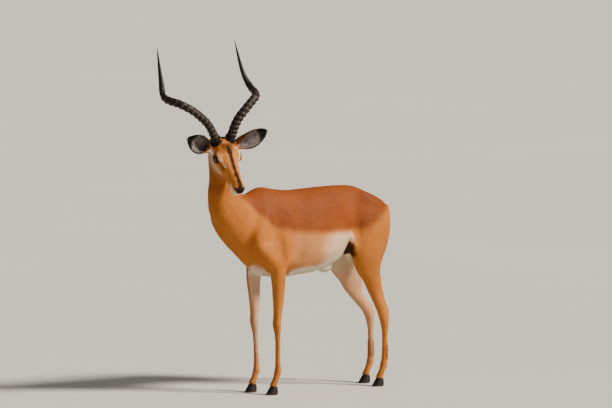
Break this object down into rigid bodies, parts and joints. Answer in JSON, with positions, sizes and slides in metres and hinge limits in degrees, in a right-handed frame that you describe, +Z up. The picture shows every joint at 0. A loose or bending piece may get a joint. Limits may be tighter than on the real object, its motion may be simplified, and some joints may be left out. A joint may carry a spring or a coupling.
{
  "type": "standing impala ram",
  "caption": "Life-size impala ram standing on its cloven hooves, head turned to its left, with ridged lyre-shaped horns, ears held out and a hanging tail.",
  "frame": {"origin": "centre of the bounding box's footprint, at the level of the soles", "axes": "+X forward along the trunk, +Y to the animal's own left, +Z up"},
  "size_m": [1.1536, 0.3676, 1.5623],
  "materials": {
    "coat": "short smooth hair, satin",
    "pale_coat": "short pale hair, matt",
    "horn": "ridged dark horn, satin",
    "eye": "wet and glossy",
    "hoof": "dark hoof horn, satin"
  },
  "bodies": {
    "root": {"trunk": "coat", "neck": "coat", "head": "coat", "foreleg_left": "coat", "foreleg_right": "coat", "hind_leg_left": "coat", "hind_leg_right": "coat", "ear_left": "pale_coat", "ear_right": "pale_coat", "tail": "pale_coat", "horn_left": "horn", "horn_right": "horn", "eye_left": "eye", "eye_right": "eye", "claw_fore_left_left": "hoof", "claw_fore_left_right": "hoof", "claw_fore_right_left": "hoof", "claw_fore_right_right": "hoof", "claw_hind_left_left": "hoof", "claw_hind_left_right": "hoof", "claw_hind_right_left": "hoof", "claw_hind_right_right": "hoof"}
  },
  "joints": []
}
